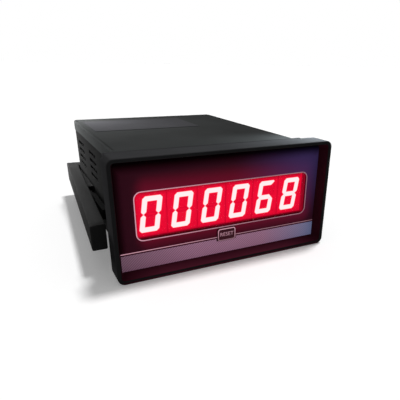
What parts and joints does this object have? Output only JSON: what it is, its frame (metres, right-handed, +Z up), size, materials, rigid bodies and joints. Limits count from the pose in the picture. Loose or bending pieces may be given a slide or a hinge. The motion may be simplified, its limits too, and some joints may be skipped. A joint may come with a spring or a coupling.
{
  "type": "panel counter",
  "caption": "Panel-mount digital counter with a red lit display and a reset key in a shallow black case held by sliding side clamps, with screw terminals behind.",
  "frame": {"origin": "centre of the collar in the plane where the bezel's rear face meets the panel's front face", "axes": "+Y from the front into the panel, +X to the viewer's right, +Z up"},
  "size_m": [0.1074, 0.1269, 0.048],
  "materials": {
    "bezel_abs": "satin",
    "case_abs": "matte",
    "filter_acrylic": "gloss",
    "overlay_film": "satin",
    "key_cap": "satin",
    "digit_shell": "matte",
    "digit_resin": "gloss",
    "switch_body": "matte",
    "circuit_board": "satin",
    "chip_epoxy": "matte",
    "label_film": "satin",
    "zinc_steel": "satin",
    "core_steel": "satin",
    "former_nylon": "satin",
    "copper_wire": "gloss",
    "capacitor_sleeve": "satin",
    "terminal_pbt": "satin",
    "brass": "satin"
  },
  "bodies": {
    "instrument": {"front_bezel": "bezel_abs", "filter_plate": "filter_acrylic", "front_overlay": "overlay_film", "key_switch": "switch_body", "display_board": "circuit_board", "digit_shell_1": "digit_shell", "digit_shell_2": "digit_shell", "digit_shell_3": "digit_shell", "digit_shell_4": "digit_shell", "digit_shell_5": "digit_shell", "digit_shell_6": "digit_shell", "digit_fill_1": "digit_resin", "digit_fill_2": "digit_resin", "digit_fill_3": "digit_resin", "digit_fill_4": "digit_resin", "digit_fill_5": "digit_resin", "digit_fill_6": "digit_resin", "link_header": "chip_epoxy", "case_tray": "case_abs", "top_cover": "case_abs", "top_label": "label_film", "rear_cover": "case_abs", "cover_screws": "zinc_steel", "main_board": "circuit_board", "board_screws": "zinc_steel", "microcontroller": "chip_epoxy", "input_coupler": "chip_epoxy", "transformer_core": "core_steel", "transformer_former": "former_nylon", "transformer_coil": "copper_wire", "large_capacitor": "capacitor_sleeve", "small_capacitor": "capacitor_sleeve", "voltage_regulator": "chip_epoxy", "terminal_block": "terminal_pbt", "terminal_plates": "brass", "terminal_washers": "zinc_steel", "terminal_screws": "zinc_steel"},
    "key": {"reset_key": "key_cap", "switch_plunger": "former_nylon"},
    "clamp_left": {"clamp_left": "case_abs"},
    "clamp_right": {"clamp_right": "case_abs"}
  },
  "joints": [
    {"name": "reset_key_press", "type": "slide", "parent": "instrument", "child": "key", "axis": [0, 1, 0], "range_m": [0, 0.0005], "stiffness_N_per_m": 1200},
    {"name": "clamp_left_slide", "type": "slide", "parent": "instrument", "child": "clamp_left", "axis": [0, 1, 0], "range_m": [-0.0035, 0.03]},
    {"name": "clamp_right_slide", "type": "slide", "parent": "instrument", "child": "clamp_right", "axis": [0, 1, 0], "range_m": [-0.0035, 0.03]}
  ]
}
